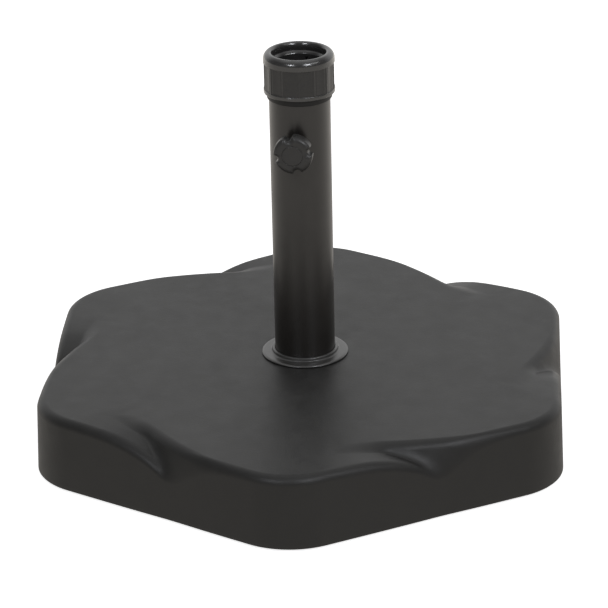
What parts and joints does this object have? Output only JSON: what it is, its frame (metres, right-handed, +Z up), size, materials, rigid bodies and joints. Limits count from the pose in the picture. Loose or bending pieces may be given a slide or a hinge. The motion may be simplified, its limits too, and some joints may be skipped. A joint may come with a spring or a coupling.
{
  "type": "parasol base",
  "caption": "Weighted hexagonal parasol base with a swirled edge, an upright steel tube, a screw-down collet cap and a side clamp knob.",
  "frame": {"origin": "the tube's axis at floor level, on the plane the feet rest on", "axes": "+Z up along the tube, -Y through one corner of the hexagon, close to the side the clamp knob is on"},
  "size_m": [0.4376, 0.4859, 0.3335],
  "materials": {
    "shell_plastic": "fine satin grain, charcoal",
    "cover_plastic": "matt",
    "concrete": "cast",
    "foot_rubber": "matt",
    "tube_paint": "satin powder coat, charcoal",
    "zinc_steel": "zinc plated",
    "guide_plastic": "matt",
    "collar_plastic": "semi gloss",
    "ring_plastic": "semi gloss",
    "cap_plastic": "gloss with satin sides",
    "knob_plastic": "satin",
    "pad_plastic": "matt nylon"
  },
  "bodies": {
    "base": {"base_shell": "shell_plastic", "concrete_ballast": "concrete", "bottom_cover": "cover_plastic", "rubber_foot_1": "foot_rubber", "rubber_foot_2": "foot_rubber", "rubber_foot_3": "foot_rubber", "rubber_foot_4": "foot_rubber", "rubber_foot_5": "foot_rubber", "rubber_foot_6": "foot_rubber", "pole_tube": "tube_paint", "tube_end_plate": "zinc_steel", "anchor_nut": "zinc_steel", "anchor_bolt": "zinc_steel", "anchor_spring_washer": "zinc_steel", "anchor_plate_washer": "zinc_steel", "lower_pole_guide": "guide_plastic", "threaded_collar": "collar_plastic", "knob_nut": "tube_paint"},
    "cover_ring": {"trim_ring": "ring_plastic"},
    "collet_body": {"collet": "cap_plastic"},
    "cap": {"cap_nut": "cap_plastic"},
    "pad": {"clamp_pad": "pad_plastic"},
    "knob": {"clamp_knob": "knob_plastic", "knob_stud": "zinc_steel", "knob_cap": "knob_plastic"}
  },
  "joints": [
    {"name": "ring_lift", "type": "slide", "parent": "base", "child": "cover_ring", "axis": [0, 0, 1], "range_m": [0, 0.17]},
    {"name": "collet_lift", "type": "slide", "parent": "base", "child": "collet_body", "axis": [0, 0, 1], "range_m": [0, 0.008]},
    {"name": "cap_turn", "type": "hinge", "parent": "collet_body", "child": "cap", "pos_m": [0, 0, 0.3133], "axis": [0, 0, 1], "range_deg": [0, 720]},
    {"name": "pad_slide", "type": "slide", "parent": "base", "child": "pad", "axis": [-0.0941, -0.9956, 0], "range_m": [-0.00375, 0.00125]},
    {"name": "knob_turn", "type": "hinge", "parent": "pad", "child": "knob", "pos_m": [0, 0, 0.2573], "axis": [-0.0941, -0.9956, 0], "range_deg": [-1080, 360]}
  ],
  "couplings": [
    {"joint": "collet_lift", "follows": "cap_turn", "m_per_rad": 0.00063661},
    {"joint": "pad_slide", "follows": "knob_turn", "m_per_rad": 0.00019894}
  ]
}
